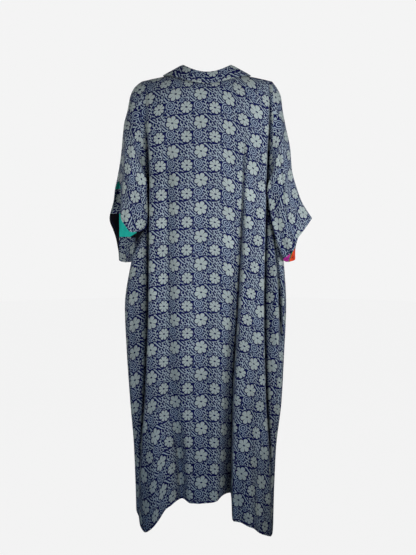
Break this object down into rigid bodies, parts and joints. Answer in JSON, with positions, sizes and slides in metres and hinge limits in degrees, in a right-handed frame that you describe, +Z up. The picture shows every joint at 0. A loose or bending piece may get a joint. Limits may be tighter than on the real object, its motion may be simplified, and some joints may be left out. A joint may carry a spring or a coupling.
{
  "type": "kaftan",
  "caption": "Open-front kaftan with a folded band collar and short wide sleeves, hanging hollow with deep folds and a hem that droops at the sides.",
  "frame": {"origin": "on the shoulder line, at the middle of the neck", "axes": "+Z up, +X to the wearer's right, +Y to the wearer's front"},
  "size_m": [0.568, 0.23, 1.3139],
  "materials": {
    "printed_cloth": "soft cotton, navy with a silver-grey floral print",
    "turquoise_lining": "soft cotton, turquoise with a black field and printed field",
    "patchwork_lining": "soft cotton, orange-red with magenta and green patches"
  },
  "bodies": {
    "root": {"back": "printed_cloth", "front_left": "printed_cloth", "front_right": "printed_cloth", "sleeve_left": "printed_cloth", "sleeve_right": "printed_cloth", "sleeve_lining_left": "turquoise_lining", "sleeve_lining_right": "patchwork_lining", "neck_collar": "printed_cloth", "front_band_left": "printed_cloth", "front_band_right": "printed_cloth"}
  },
  "joints": []
}
